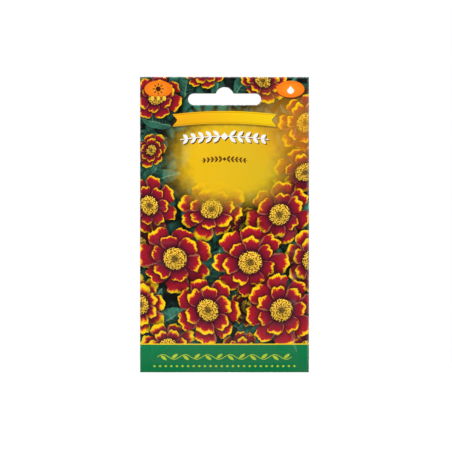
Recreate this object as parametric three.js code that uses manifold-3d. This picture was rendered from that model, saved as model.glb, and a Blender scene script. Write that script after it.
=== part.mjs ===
// A seed packet: a flat sachet of laminated paper, hung by the slot in its header, with loose
// marigold seeds lying at the bottom of its pocket.
//
// Millimetres. +Z is up, +X is to the right as the front is read, and the front faces -Y.
// The origin is the middle of the slot's top edge, where a display peg carries the packet.
// The two panels are sealed to each other in the plane y = 0.

import * as THREE from 'three';
import { mergeVertices } from 'three/addons/utils/BufferGeometryUtils.js';
import Module from 'manifold-3d';

// ---- Driving dimensions ----

const PACKET = { width: 92, height: 161, topEdge: 5.6 };
const SHEET_THICKNESS = 0.2;
const SEAL = { side: 6, bottom: 6, header: 22 };

// The pocket is fullest a little above its bottom, where the seeds settle. Each panel bulges
// by `depth` there. The powers say how full the bulge stays towards the side and top seals.
const BULGE = { depth: 2, fullestAt: 0.24, sidePower: 3.2, topPower: 1.6, bottomPower: 3.4 };

// The hang slot: a bar with round ends, and a hump in the middle of its top edge.
const SLOT = { width: 39.7, barHeight: 6.2, humpHeight: 3.5, humpHalfWidth: 4.7, shoulder: 0.8 };
const ARC_STEPS = 10;

const GRID = { columns: 20, rows: 26 };

// A marigold seed is a slender achene with a tuft of dry scales at one end.
const SEED = { shortest: 9.6, longest: 11, flatness: 0.78, bend: 0.15, sides: 6 };
const SEED_STATIONS = [
  { along: 0.0, radius: 0.14 },
  { along: 0.08, radius: 0.34 },
  { along: 0.3, radius: 0.48 },
  { along: 0.56, radius: 0.52 },
  { along: 0.66, radius: 0.4 },
  { along: 0.82, radius: 0.52 },
  { along: 0.96, radius: 0.62 },
];
const TUFT_JAG = 0.04;

// The pile: how many seeds, the layers they lie in, and the room each one keeps to itself.
const PILE = {
  count: 58,
  layers: [-0.8, 0, 0.8],
  room: 0.7,
  tipRoom: 0.3,
  clearance: 0.1,
  spread: 36,
  steepest: 0.8,
  dropFrom: -110,
  dropStep: 0.5,
  fineStep: 0.1,
  tries: 60,
  firstDraw: 4127,
};

// ---- Sizes worked out from them ----

const left = -PACKET.width / 2;
const right = PACKET.width / 2;
const top = PACKET.topEdge;
const bottom = top - PACKET.height;
const pocket = {
  halfWidth: PACKET.width / 2 - SEAL.side,
  top: top - SEAL.header,
  bottom: bottom + SEAL.bottom,
};

// ---- The packet's two panels ----

/** How far each panel's inner face stands off the seal's plane at (x, z): 0 on the seals. */
function bulgeAt(x, z) {
  const across = Math.abs(x) / pocket.halfWidth;
  const up = (z - pocket.bottom) / (pocket.top - pocket.bottom);
  if (across >= 1 || up <= 0 || up >= 1) {
    return 0;
  }
  const fromFullest = up < BULGE.fullestAt
    ? (BULGE.fullestAt - up) / BULGE.fullestAt
    : (up - BULGE.fullestAt) / (1 - BULGE.fullestAt);
  const power = up < BULGE.fullestAt ? BULGE.bottomPower : BULGE.topPower;
  const fullness = (1 - across ** BULGE.sidePower) * (1 - fromFullest ** power);
  return BULGE.depth * fullness;
}

/** Evenly spaced values from start to end, both included. */
function spaced(start, end, cells) {
  return Array.from({ length: cells + 1 }, (_, i) => start + ((end - start) * i) / cells);
}

/**
 * One panel before its slot is cut: a sheet of even thickness over a grid of points.
 * outward is -1 for the front panel and +1 for the back one.
 */
function panelGeometry(outward) {
  const xs = [left, ...spaced(-pocket.halfWidth, pocket.halfWidth, GRID.columns), right];
  const zs = [bottom, ...spaced(pocket.bottom, pocket.top, GRID.rows), top];
  const positions = [];
  for (const offset of [0, SHEET_THICKNESS]) {
    for (const z of zs) {
      for (const x of xs) {
        positions.push(x, outward * (bulgeAt(x, z) + offset), z);
      }
    }
  }
  const layer = xs.length * zs.length;
  const inner = (i, j) => j * xs.length + i;
  const outer = (i, j) => layer + inner(i, j);
  const triangles = [];
  const quad = (a, b, c, d) => triangles.push([a, b, c], [a, c, d]);

  const lastColumn = xs.length - 1;
  const lastRow = zs.length - 1;
  for (let j = 0; j < lastRow; j += 1) {
    for (let i = 0; i < lastColumn; i += 1) {
      quad(outer(i, j), outer(i + 1, j), outer(i + 1, j + 1), outer(i, j + 1));
      quad(inner(i, j), inner(i, j + 1), inner(i + 1, j + 1), inner(i + 1, j));
    }
  }
  for (let i = 0; i < lastColumn; i += 1) {
    quad(inner(i, 0), inner(i + 1, 0), outer(i + 1, 0), outer(i, 0));
    quad(inner(i + 1, lastRow), inner(i, lastRow), outer(i, lastRow), outer(i + 1, lastRow));
  }
  for (let j = 0; j < lastRow; j += 1) {
    quad(inner(0, j + 1), inner(0, j), outer(0, j), outer(0, j + 1));
    quad(inner(lastColumn, j), inner(lastColumn, j + 1), outer(lastColumn, j + 1), outer(lastColumn, j));
  }

  // The windings above face out on the front panel. The back panel is its mirror image.
  const ordered = outward < 0 ? triangles : triangles.map(([a, b, c]) => [a, c, b]);
  const geometry = new THREE.BufferGeometry();
  geometry.setAttribute('position', new THREE.Float32BufferAttribute(positions, 3));
  geometry.setIndex(ordered.flat());
  return geometry;
}

/** The slot's outline, in the packet's own x and z. */
function slotShape() {
  const barTop = -SLOT.humpHeight;
  const endRadius = SLOT.barHeight / 2;
  const endX = SLOT.width / 2 - endRadius;
  const barMiddle = barTop - endRadius;

  // The hump is an arc of a circle whose middle lies below the bar's top edge.
  const humpRadius = (SLOT.humpHalfWidth ** 2 + SLOT.humpHeight ** 2) / (2 * SLOT.humpHeight);
  const humpMiddle = -humpRadius;

  // A small fillet rounds each shoulder where the hump meets the bar.
  const shoulderZ = barTop + SLOT.shoulder;
  const reach = humpRadius + SLOT.shoulder;
  const shoulderX = Math.sqrt(reach ** 2 - (shoulderZ - humpMiddle) ** 2);
  const lean = Math.atan2(shoulderZ - humpMiddle, shoulderX);

  const shape = new THREE.Shape();
  shape.moveTo(-endX, barTop - SLOT.barHeight);
  shape.lineTo(endX, barTop - SLOT.barHeight);
  shape.absarc(endX, barMiddle, endRadius, -Math.PI / 2, Math.PI / 2, false);
  shape.lineTo(shoulderX, barTop);
  shape.absarc(shoulderX, shoulderZ, SLOT.shoulder, -Math.PI / 2, -Math.PI + lean, true);
  shape.absarc(0, humpMiddle, humpRadius, lean, Math.PI - lean, false);
  shape.absarc(-shoulderX, shoulderZ, SLOT.shoulder, -lean, -Math.PI / 2, true);
  shape.lineTo(-endX, barTop);
  shape.absarc(-endX, barMiddle, endRadius, Math.PI / 2, Math.PI * 1.5, false);
  return shape;
}

/** The punch that cuts the slot: its outline, run well past both panels. */
function slotPunchGeometry() {
  const depth = 20 * SHEET_THICKNESS;
  const punch = new THREE.ExtrudeGeometry(slotShape(), {
    depth,
    bevelEnabled: false,
    curveSegments: ARC_STEPS,
  });
  punch.deleteAttribute('normal');
  punch.deleteAttribute('uv');
  punch.translate(0, 0, -depth / 2);
  punch.rotateX(Math.PI / 2);
  return punch;
}

// ---- Cutting ----

const wasm = await Module();
wasm.setup();

/** A closed geometry, with its shared corners joined, as a solid that can be cut. */
function solidOf(geometry) {
  const joined = mergeVertices(geometry);
  const mesh = new wasm.Mesh({
    numProp: 3,
    vertProperties: new Float32Array(joined.getAttribute('position').array),
    triVerts: new Uint32Array(joined.getIndex().array),
  });
  return new wasm.Manifold(mesh);
}

/** A solid as a geometry again. */
function geometryOf(solid) {
  const mesh = solid.getMesh();
  const geometry = new THREE.BufferGeometry();
  geometry.setAttribute('position', new THREE.Float32BufferAttribute(mesh.vertProperties, 3));
  geometry.setIndex(Array.from(mesh.triVerts));
  geometry.computeVertexNormals();
  return geometry;
}

/** One panel with the slot cut through its header. */
function slottedPanel(outward) {
  const sheet = solidOf(panelGeometry(outward));
  const punch = solidOf(slotPunchGeometry());
  return geometryOf(sheet.subtract(punch));
}

// ---- The seeds ----

/** One seed along X, its tuft at +X, lofted through rings of a slightly flattened section. */
function seedGeometry(length) {
  const positions = [];
  const { sides, flatness, bend } = SEED;
  SEED_STATIONS.forEach((station, ring) => {
    const isTuftTip = ring === SEED_STATIONS.length - 1;
    for (let k = 0; k < sides; k += 1) {
      const turn = (2 * Math.PI * k) / sides;
      const jag = isTuftTip ? TUFT_JAG * (k % 2 === 0 ? 1 : -1) : 0;
      const along = station.along + jag;
      const bow = bend * (1 - (2 * along - 1) ** 2);
      positions.push(
        (along - 0.5) * length,
        station.radius * flatness * Math.cos(turn),
        station.radius * Math.sin(turn) + bow,
      );
    }
  });
  const triangles = [];
  const at = (ring, k) => ring * sides + (k % sides);
  const lastRing = SEED_STATIONS.length - 1;
  for (let ring = 0; ring < lastRing; ring += 1) {
    for (let k = 0; k < sides; k += 1) {
      triangles.push(at(ring, k), at(ring, k + 1), at(ring + 1, k + 1));
      triangles.push(at(ring, k), at(ring + 1, k + 1), at(ring + 1, k));
    }
  }
  // The root end closes flat. The tuft closes on a point set in between its scales.
  for (let k = 1; k < sides - 1; k += 1) {
    triangles.push(at(0, 0), at(0, k + 1), at(0, k));
  }
  const hollow = positions.length / 3;
  positions.push((SEED_STATIONS[lastRing].along - 2 * TUFT_JAG - 0.5) * length, 0, 0);
  for (let k = 0; k < sides; k += 1) {
    triangles.push(hollow, at(lastRing, k), at(lastRing, k + 1));
  }
  const geometry = new THREE.BufferGeometry();
  geometry.setAttribute('position', new THREE.Float32BufferAttribute(positions, 3));
  geometry.setIndex(triangles);
  geometry.computeVertexNormals();
  return geometry;
}

/** A repeatable source of numbers from 0 up to 1. */
function drawsFrom(start) {
  let state = start;
  return () => {
    state = (state + 0x6d2b79f5) | 0;
    let mixed = Math.imul(state ^ (state >>> 15), 1 | state);
    mixed = (mixed + Math.imul(mixed ^ (mixed >>> 7), 61 | mixed)) ^ mixed;
    return ((mixed ^ (mixed >>> 14)) >>> 0) / 2 ** 32;
  };
}

/** The seed's middle line, from its root end to its tuft, in x and z. */
function middleLine(seed) {
  const half = seed.length / 2 - PILE.tipRoom;
  const dx = half * Math.cos(seed.turn);
  const dz = half * Math.sin(seed.turn);
  return [
    new THREE.Vector2(seed.x - dx, seed.z - dz),
    new THREE.Vector2(seed.x + dx, seed.z + dz),
  ];
}

/** The distance from a point to the line between two ends. */
function pointToLine(point, [start, end]) {
  const run = end.clone().sub(start);
  const share = point.clone().sub(start).dot(run) / run.lengthSq();
  const nearest = start.clone().addScaledVector(run, THREE.MathUtils.clamp(share, 0, 1));
  return nearest.distanceTo(point);
}

/** True if two lines in the plane cross. */
function linesCross([a, b], [c, d]) {
  const side = (p, q, r) => Math.sign((q.x - p.x) * (r.y - p.y) - (q.y - p.y) * (r.x - p.x));
  return side(a, b, c) !== side(a, b, d) && side(c, d, a) !== side(c, d, b);
}

/** The distance between the middle lines of two seeds, which lie in layers of one y each. */
function apart(one, other) {
  const first = middleLine(one);
  const second = middleLine(other);
  const inPlane = linesCross(first, second)
    ? 0
    : Math.min(
      pointToLine(first[0], second),
      pointToLine(first[1], second),
      pointToLine(second[0], first),
      pointToLine(second[1], first),
    );
  return Math.hypot(inPlane, one.layer - other.layer);
}

/** True if the seed fits between the panels and clear of the seeds that lie there already. */
function fits(seed, lying) {
  const [start, end] = middleLine(seed);
  const need = Math.abs(seed.layer) + PILE.room + PILE.clearance;
  for (const share of [-0.08, 0, 0.25, 0.5, 0.75, 1, 1.08]) {
    const point = start.clone().lerp(end, share);
    if (bulgeAt(point.x, point.y) < need) {
      return false;
    }
  }
  return lying.every((other) => apart(seed, other) >= 2 * PILE.room + PILE.clearance);
}

/** Drops a seed down the pocket, in steps, until the next one would touch something. */
function dropped(seed, lying) {
  let resting = { ...seed, z: PILE.dropFrom };
  if (!fits(resting, lying)) {
    return null;
  }
  for (const step of [PILE.dropStep, PILE.fineStep]) {
    let next = { ...resting, z: resting.z - step };
    while (fits(next, lying)) {
      resting = next;
      next = { ...resting, z: resting.z - step };
    }
  }
  return resting;
}

/** The whole pile, seed by seed: each one keeps the lowest of a few random drops. */
function pileOfSeeds() {
  const draw = drawsFrom(PILE.firstDraw);
  const between = (low, high) => low + (high - low) * draw();
  const lying = [];
  while (lying.length < PILE.count) {
    const length = between(SEED.shortest, SEED.longest);
    const drops = [];
    for (let i = 0; i < PILE.tries; i += 1) {
      const seed = {
        length,
        x: between(-PILE.spread, PILE.spread),
        turn: between(-PILE.steepest, PILE.steepest) + (draw() < 0.5 ? Math.PI : 0),
        roll: between(0, 2 * Math.PI),
        layer: PILE.layers[Math.floor(draw() * PILE.layers.length)],
      };
      const resting = dropped(seed, lying);
      if (resting) {
        drops.push(resting);
      }
    }
    drops.sort((one, other) => one.z - other.z);
    if (drops.length > 0) {
      lying.push(drops[0]);
    }
  }
  return lying;
}

// ---- The packet ----

const frontPrint = new THREE.MeshStandardMaterial({ color: 0xa8421f, roughness: 0.42, metalness: 0 });
const backPrint = new THREE.MeshStandardMaterial({ color: 0xe9e4cf, roughness: 0.45, metalness: 0 });
const seedCoat = new THREE.MeshStandardMaterial({ color: 0x2b231d, roughness: 0.75, metalness: 0 });

const packet = new THREE.Group();

/** Adds one named piece to the packet. */
function addPiece(name, geometry, material) {
  const piece = new THREE.Mesh(geometry, material);
  piece.name = name;
  packet.add(piece);
  return piece;
}

addPiece('front_sheet', slottedPanel(-1), frontPrint);
addPiece('back_sheet', slottedPanel(1), backPrint);

pileOfSeeds().forEach((seed, i) => {
  const name = `seed_${String(i + 1).padStart(2, '0')}`;
  const piece = addPiece(name, seedGeometry(seed.length), seedCoat.clone());
  piece.position.set(seed.x, seed.layer, seed.z);
  piece.rotation.set(seed.roll, -seed.turn, 0, 'YXZ');
});

export default packet;
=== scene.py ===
"""A flat seed packet, hanging by the slot in its header, with loose marigold seeds in its pocket.

The two laminated paper panels are fine sheets of their own, built from the packet's sizes and dressed
with a print that is worked out by shader maths. The seeds keep their places in the frame, and are made
rounder and given their dark coat and pale tuft. Metres, +Z up, the printed front faces -Y. Places on
the print are in millimetres instead, across from the panel's middle and up from its bottom edge.
"""

from __future__ import annotations

import logging
import math
from dataclasses import asdict, dataclass, field, fields
from enum import Enum
from types import SimpleNamespace
from typing import Any, Callable, Sequence

import bpy
import numpy as np
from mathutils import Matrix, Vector
from mathutils.geometry import delaunay_2d_cdt


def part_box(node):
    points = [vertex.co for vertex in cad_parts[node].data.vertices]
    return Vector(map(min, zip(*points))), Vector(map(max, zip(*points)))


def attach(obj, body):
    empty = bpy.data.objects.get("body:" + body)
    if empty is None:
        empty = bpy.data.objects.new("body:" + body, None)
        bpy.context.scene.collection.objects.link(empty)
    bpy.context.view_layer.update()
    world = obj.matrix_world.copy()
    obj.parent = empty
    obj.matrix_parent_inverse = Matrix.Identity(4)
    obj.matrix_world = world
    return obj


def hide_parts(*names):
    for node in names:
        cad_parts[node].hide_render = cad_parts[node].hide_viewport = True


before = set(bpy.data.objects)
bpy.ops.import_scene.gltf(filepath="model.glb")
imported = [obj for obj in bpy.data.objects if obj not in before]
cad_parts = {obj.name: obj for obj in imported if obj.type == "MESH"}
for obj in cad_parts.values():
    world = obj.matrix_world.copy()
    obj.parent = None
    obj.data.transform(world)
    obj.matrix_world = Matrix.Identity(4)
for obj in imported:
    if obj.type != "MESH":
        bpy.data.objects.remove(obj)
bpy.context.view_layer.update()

LOG = logging.getLogger("seed_packet")
MM = 0.001
TAU = 2 * math.pi
Colour = tuple[float, float, float]
BLACK: Colour = (0.0, 0.0, 0.0)
FULL_WHITE: Colour = (1.0, 1.0, 1.0)


def srgb(*screen: float) -> Colour:
    """Turns a colour as it looks on a screen, 0 to 1, into the linear values that shaders take."""
    return tuple(part / 12.92 if part <= 0.04045 else ((part + 0.055) / 1.055) ** 2.4 for part in screen)


def add_object(name: str, data: bpy.types.ID) -> bpy.types.Object:
    """Adds an object to the scene.

    Args:
        name: the object's name.
        data: what it shows: a mesh, a light or a camera.

    Returns:
        The new object.
    """
    made = bpy.data.objects.new(name, data)
    bpy.context.scene.collection.objects.link(made)
    return made


def points_of(mesh: bpy.types.Mesh) -> np.ndarray:
    """Returns a mesh's points, as rows of x, y and z."""
    return np.array([vertex.co for vertex in mesh.vertices], dtype=float)


def mark_points(mesh: bpy.types.Mesh, name: str, values: np.ndarray) -> None:
    """Gives each point of a mesh a value for its material to read."""
    mesh.attributes.new(name, "FLOAT", "POINT").data.foreach_set("value", values.astype(np.float32))


# ---- Shader maths ----


def of_one(operation: str) -> Callable[[Socket], Socket]:
    """Makes a method of Socket that adds one Math node over the socket.

    Args:
        operation: the Math node's operation.

    Returns:
        The method.
    """
    def method(self: Socket) -> Socket:
        """Returns what the Math node gives."""
        return self.tree.math(operation, self)

    return method


def of_two(operation: str, swapped: bool = False) -> Callable[[Socket, Value], Socket]:
    """Makes a method of Socket that adds one Math node over the socket and another value.

    Args:
        operation: the Math node's operation.
        swapped: whether the other value comes first, as in 1 - mask.

    Returns:
        The method.
    """
    def method(self: Socket, other: Value) -> Socket:
        """Returns what the Math node gives."""
        return self.tree.math(operation, *((other, self) if swapped else (self, other)))

    return method


class Socket:
    """A value on a node tree. Its operators and methods add the Math nodes that work them out."""

    def __init__(self, tree: ShaderTree, output: bpy.types.NodeSocket) -> None:
        """Wraps one output socket of a tree."""
        self.tree = tree
        self.output = output

    __add__, __radd__ = of_two("ADD"), of_two("ADD", swapped=True)
    __sub__, __rsub__ = of_two("SUBTRACT"), of_two("SUBTRACT", swapped=True)
    __mul__, __rmul__ = of_two("MULTIPLY"), of_two("MULTIPLY", swapped=True)
    __truediv__, __rtruediv__ = of_two("DIVIDE"), of_two("DIVIDE", swapped=True)
    __pow__, __rpow__ = of_two("POWER"), of_two("POWER", swapped=True)
    __mod__, __rmod__ = of_two("FLOORED_MODULO"), of_two("FLOORED_MODULO", swapped=True)
    __abs__ = of_one("ABSOLUTE")
    sin, cos = of_one("SINE"), of_one("COSINE")
    floor, fract, root = of_one("FLOOR"), of_one("FRACT"), of_one("SQRT")
    least, most = of_two("MINIMUM"), of_two("MAXIMUM")
    # up.angle_to(across) is the angle of the point (across, up) from the across axis.
    angle_to = of_two("ARCTAN2")

    def ramp(self, low: Value, high: Value) -> Socket:
        """Rises evenly from 0 to 1 between two values, or falls if low is above high.

        Args:
            low: where the result is 0.
            high: where the result is 1.

        Returns:
            The ramp. It is made of plain sums, which use less of the renderer's memory than a Map Range.
        """
        if isinstance(low, Socket) or isinstance(high, Socket):
            share = (self - low) / (high - low)
        else:
            share = self.tree.math("MULTIPLY_ADD", self, 1 / (high - low), -low / (high - low))
        return share.most(0.0).least(1.0)

    def rise(self, low: Value, high: Value) -> Socket:
        """Rises smoothly from 0 to 1 between two values, or falls if low is above high."""
        share = self.ramp(low, high)
        return share * share * self.tree.math("MULTIPLY_ADD", share, -2.0, 3.0)

    def draw(self) -> Socket:
        """Returns a random value from 0 to 1 that belongs to this index: the end digits of a sine."""
        return ((self * 12.9898 + 4.1).sin() * 437.585).fract()

    def hypot(self, other: Socket) -> Socket:
        """Returns how far a point lies from the middle, given its places across and up."""
        return (self * self + other * other).root()

    def within(self, pitch: float) -> Socket:
        """Returns the place inside an evenly repeated span, from the span's middle."""
        return ((self * (1 / pitch)).fract() - 0.5) * pitch


Value = Socket | float
Paint = Socket | Colour


class ShaderTree:
    """A node tree being built, with one method for every kind of node."""

    MIX_FACTOR, MIX_BELOW, MIX_ABOVE, MIX_RESULT = 0, 6, 7, 2

    def __init__(self, tree: bpy.types.NodeTree) -> None:
        """Starts on an existing node tree."""
        self.tree = tree

    def feed(self, socket: bpy.types.NodeSocket, value: Any) -> None:
        """Links a value to a socket, or sets the socket to it.

        Args:
            socket: the input to fill.
            value: a Socket, a number, a vector or a colour.
        """
        if isinstance(value, Socket):
            self.tree.links.new(value.output, socket)
        elif socket.type == "RGBA":
            socket.default_value = (*value, 1.0)
        else:
            socket.default_value = value

    def node(self, kind: str, settings: dict | None = None, sockets: dict | None = None) -> bpy.types.Node:
        """Adds one node.

        Args:
            kind: the node's type.
            settings: its settings, set before its sockets.
            sockets: values or links for its inputs, by name or number.

        Returns:
            The new node.
        """
        made = self.tree.nodes.new(kind)
        for name, value in (settings or {}).items():
            setattr(made, name, value)
        for name, value in (sockets or {}).items():
            self.feed(made.inputs[name], value)
        return made

    def read(self, kind: str, output: str | int, settings: dict | None = None,
             sockets: dict | None = None) -> Socket:
        """Adds one node, as node() does, and returns one of its outputs, by name or number."""
        return Socket(self, self.node(kind, settings, sockets).outputs[output])

    def math(self, operation: str, *values: Value) -> Socket:
        """Adds one Math node over up to three values."""
        return self.read("ShaderNodeMath", 0, {"operation": operation}, dict(enumerate(values)))

    def slide(self, share: Value, low: Value, high: Value) -> Socket:
        """Returns the number that lies a share of the way from low to high."""
        return self.read("ShaderNodeMix", 0, {"data_type": "FLOAT"}, {0: share, 2: low, 3: high})

    def mix(self, share: Value, below: Paint, above: Paint, blend: str = "MIX") -> Socket:
        """Lays one colour over another.

        Args:
            share: how much of the upper colour shows, 0 to 1.
            below: the lower colour.
            above: the upper colour.
            blend: how they mix.

        Returns:
            The mixed colour.
        """
        return self.read(
            "ShaderNodeMix", self.MIX_RESULT, {"data_type": "RGBA", "blend_type": blend},
            {self.MIX_FACTOR: share, self.MIX_BELOW: below, self.MIX_ABOVE: above},
        )

    def shaded(self, paint: Paint, light: Value) -> Socket:
        """Multiplies a colour by a brightness."""
        grey = self.read("ShaderNodeCombineColor", 0, None, {0: light, 1: light, 2: light})
        return self.mix(1.0, paint, grey, "MULTIPLY")

    def noise(self, vector: Socket, scale: float, detail: float = 2.0, roughness: float = 0.5) -> Socket:
        """Adds soft noise.

        Args:
            vector: the places.
            scale: how many lumps there are in one unit of the places.
            detail: how many times finer lumps are laid over the coarse ones.
            roughness: how strong the finer lumps are.

        Returns:
            A value of about 0.5.
        """
        return self.read(
            "ShaderNodeTexNoise", 0, {"noise_dimensions": "3D"},
            {"Vector": vector, "Scale": scale, "Detail": detail, "Roughness": roughness},
        )


class NodeGroup:
    """A group of nodes that other trees can use."""

    COLOUR = "NodeSocketColor"
    NUMBER = "NodeSocketFloat"

    def __init__(self, name: str, colours: Sequence[str], numbers: Sequence[str], result: str) -> None:
        """Starts the group.

        Args:
            name: the group's name.
            colours, numbers: the names of its inputs.
            result: the type of its only output.
        """
        self.nodes = bpy.data.node_groups.new(name, "ShaderNodeTree")
        for names, kind in ((colours, self.COLOUR), (numbers, self.NUMBER)):
            for socket in names:
                self.nodes.interface.new_socket(socket, in_out="INPUT", socket_type=kind)
        self.nodes.interface.new_socket("result", in_out="OUTPUT", socket_type=result)
        self.tree = ShaderTree(self.nodes)
        entry = self.tree.node("NodeGroupInput")
        self.given = SimpleNamespace(
            **{socket: Socket(self.tree, entry.outputs[socket]) for socket in (*colours, *numbers)})

    def finish(self, result: Socket) -> None:
        """Feeds the group's output."""
        self.tree.node("NodeGroupOutput", None, {0: result})

    def use(self, tree: ShaderTree, inputs: dict[str, Any]) -> Socket:
        """Adds the group to a tree, with values or links for its inputs, and returns its result."""
        return tree.read("ShaderNodeGroup", 0, {"node_tree": self.nodes}, inputs)


# ---- Inks and layout of the print ----


@dataclass(frozen=True)
class Inks:
    """The printed colours, in linear light."""

    maroon: Colour = srgb(0.33, 0.06, 0.17)
    crimson: Colour = srgb(0.72, 0.08, 0.15)
    ember: Colour = srgb(0.93, 0.40, 0.06)
    petal_edge: Colour = srgb(0.93, 0.55, 0.42)
    yellow: Colour = srgb(1.0, 0.84, 0.06)
    orange: Colour = srgb(0.98, 0.66, 0.10)
    gold: Colour = srgb(0.97, 0.80, 0.25)
    gold_shadow: Colour = srgb(0.58, 0.36, 0.07)
    eye: Colour = srgb(0.30, 0.22, 0.12)
    leaf: Colour = srgb(0.22, 0.50, 0.41)
    leaf_light: Colour = srgb(0.48, 0.68, 0.55)
    leaf_dark: Colour = srgb(0.05, 0.16, 0.13)
    night: Colour = srgb(0.03, 0.05, 0.04)
    glow: Colour = srgb(0.97, 0.77, 0.07)
    glow_shade: Colour = srgb(0.88, 0.74, 0.12)
    glow_rim: Colour = srgb(0.80, 0.64, 0.12)
    ribbon: Colour = srgb(1.0, 0.72, 0.07)
    ribbon_line: Colour = srgb(0.72, 0.42, 0.05)
    umber: Colour = srgb(0.36, 0.20, 0.07)
    lime: Colour = srgb(0.74, 0.84, 0.20)
    badge: Colour = srgb(1.0, 0.58, 0.11)
    badge_rim: Colour = srgb(1.0, 0.5, 0.08)
    badge_shadow: Colour = srgb(0.30, 0.12, 0.06)
    footer: Colour = srgb(0.0, 0.49, 0.28)
    footer_deep: Colour = srgb(0.0, 0.45, 0.25)
    soil: Colour = srgb(0.28, 0.18, 0.11)
    soil_light: Colour = srgb(0.52, 0.35, 0.22)
    stem: Colour = srgb(0.30, 0.55, 0.22)
    rule: Colour = srgb(0.62, 0.70, 0.62)
    cream: Colour = srgb(0.965, 0.95, 0.90)
    white: Colour = srgb(0.98, 0.98, 0.96)


INKS = Inks()


@dataclass(frozen=True)
class BloomPlace:
    """Where one printed bloom stands, its turn and lean, in radians, and how it is drawn.

    A higher redness leaves a narrower yellow rim on the petals.
    """

    x: float
    up: float
    radius: float
    turn: float = 0.0
    lean: float = 0.0
    squash: float = 0.9
    light: float = 1.0
    shadow: float = 0.7
    petals: int = 9
    redness: float = 1.0

    def inputs(self) -> dict[str, float]:
        """Returns the place as the motif's inputs."""
        return asdict(self)


@dataclass(frozen=True)
class LeafPlace:
    """Where one printed leaf's base stands, and which way it points, in degrees."""

    x: float
    up: float
    length: float
    width: float
    heading: float
    light: float = 1.0
    shadow: float = 0.5

    def inputs(self) -> dict[str, float]:
        """Returns the place as the motif's inputs, with its heading in radians."""
        return {**asdict(self), "heading": math.radians(self.heading)}


# From the back of the picture to its front.
FRONT_BLOOMS = (
    BloomPlace(-10, 164, 13, 0.4, 0.2, 0.72, 0.8, petals=8),
    BloomPlace(21, 159, 15, 1.3, 2.6, 0.8, 0.8, petals=8, redness=0.8),
    BloomPlace(-37, 150, 15.5, 2.2, 0.5, 0.85, 0.9, petals=7, redness=1.2),
    BloomPlace(44, 136, 18, 0.9, 1.2, 0.85, 0.95, petals=8, redness=0.85),
    BloomPlace(-40, 121, 10.5, 1.3, 0.9, 0.8, 0.75, petals=7),
    BloomPlace(12, 79, 14, 2.1, 0.6, 0.8, 0.6),
    BloomPlace(-46, 70, 15, 1.6, 2.2, 0.8, 0.65, petals=8),
    BloomPlace(12, 36, 12, 0.1, 1.7, 0.8, 0.6),
    BloomPlace(44, 109, 19, 0.3, 0.4, 0.82, 0.95, petals=8),
    BloomPlace(-41, 91, 18, 1.1, 2.0, 0.86, 0.95, petals=8, redness=1.3),
    BloomPlace(30, 86, 20, 2.4, 0.8, 0.9, 1.0, petals=7, redness=1.25),
    BloomPlace(-7, 89, 20, 0.2, 0.3, 0.86, 1.0, petals=8, redness=0.85),
    BloomPlace(47, 61, 18, 1.7, 1.4, 0.82, 0.95, petals=7, redness=0.85),
    BloomPlace(-46, 37, 18, 0.6, 1.9, 0.84, 0.95, petals=8, redness=0.55),
    BloomPlace(-27, 62, 21.5, 2.0, 2.8, 0.92, 1.0, petals=7, redness=1.35),
    BloomPlace(14, 60, 21.5, 1.4, 0.2, 0.95, 1.05, petals=8, redness=1.3),
    BloomPlace(-31, 14, 17, 1.9, 0.4, 0.85, 0.9, petals=8, redness=0.7),
    BloomPlace(8, 9, 16, 0.5, 1.1, 0.85, 0.85),
    BloomPlace(46, 13, 16, 2.3, 2.4, 0.85, 0.9, petals=8, redness=0.8),
    BloomPlace(-9, 34, 20.5, 0.8, 2.2, 0.9, 1.0, petals=7, redness=1.1),
    BloomPlace(31, 34, 21, 2.7, 0.9, 0.93, 1.0, petals=8, redness=1.35),
)

FRONT_LEAVES = (
    LeafPlace(-46, 132, 18, 7, -30, 0.75),
    LeafPlace(-50, 126, 19, 7, 5, 0.9),
    LeafPlace(-29, 134, 17, 7, 165, 0.9),
    LeafPlace(-50, 112, 16, 7, 40, 0.6),
    LeafPlace(-22, 149, 17, 9, 80, 0.9),
    LeafPlace(-3, 147, 16, 8, 95, 0.9),
    LeafPlace(5, 150, 19, 9, 55, 1.1),
    LeafPlace(30, 146, 17, 8, -60, 0.9),
    LeafPlace(-49, 103, 26, 9, 12, 1.0),
    LeafPlace(-46, 99, 20, 8, 55, 0.8),
    LeafPlace(3, 74, 22, 11, -28, 1.2),
    LeafPlace(-14, 44, 26, 13, 62, 1.25),
    LeafPlace(-17, 74, 14, 9, -70, 1.1),
    LeafPlace(28, 72, 20, 10, -12, 1.1),
    LeafPlace(-34, 46, 20, 11, -130, 1.2),
    LeafPlace(-40, 22, 22, 12, 35, 1.1),
    LeafPlace(4, 26, 22, 11, -35, 1.1),
    LeafPlace(-22, 22, 18, 9, 20, 1.0),
)

PICTURE_BLOOMS = (
    BloomPlace(-12.3, 101.4, 9.5, 1.2, 0.7, 0.85, 0.85),
    BloomPlace(-27.6, 113.2, 14.5, 0.5, 0.2, 0.93, 1.0),
)

PICTURE_LEAVES = (
    LeafPlace(-24.5, 126.3, 19, 10, -8, 0.9),
    LeafPlace(-40.5, 96.2, 17, 8, 35, 1.0),
    LeafPlace(-20.4, 124.1, 19, 9, -42, 1.0),
    LeafPlace(-28.3, 93.1, 17, 8, 12, 0.8),
)

GROWING_BLOOMS = (BloomPlace(28.4, 47.6, 6.6, 0.3, 0.0, 0.8, 1.0, 0.12),)

GROWING_LEAVES = (
    LeafPlace(0.2, 37.5, 6.2, 3.6, 150, 1.6, 0.1),
    LeafPlace(0.3, 37.8, 6.2, 3.6, 30, 1.6, 0.1),
    LeafPlace(28.1, 31.2, 8.4, 4.2, 160, 1.4, 0.1),
    LeafPlace(28.3, 31.6, 8.4, 4.2, 20, 1.4, 0.1),
    LeafPlace(28.0, 36.4, 7.8, 3.8, 145, 1.6, 0.1),
    LeafPlace(28.5, 36.7, 7.8, 3.8, 35, 1.6, 0.1),
)


# ---- The print ----


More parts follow.
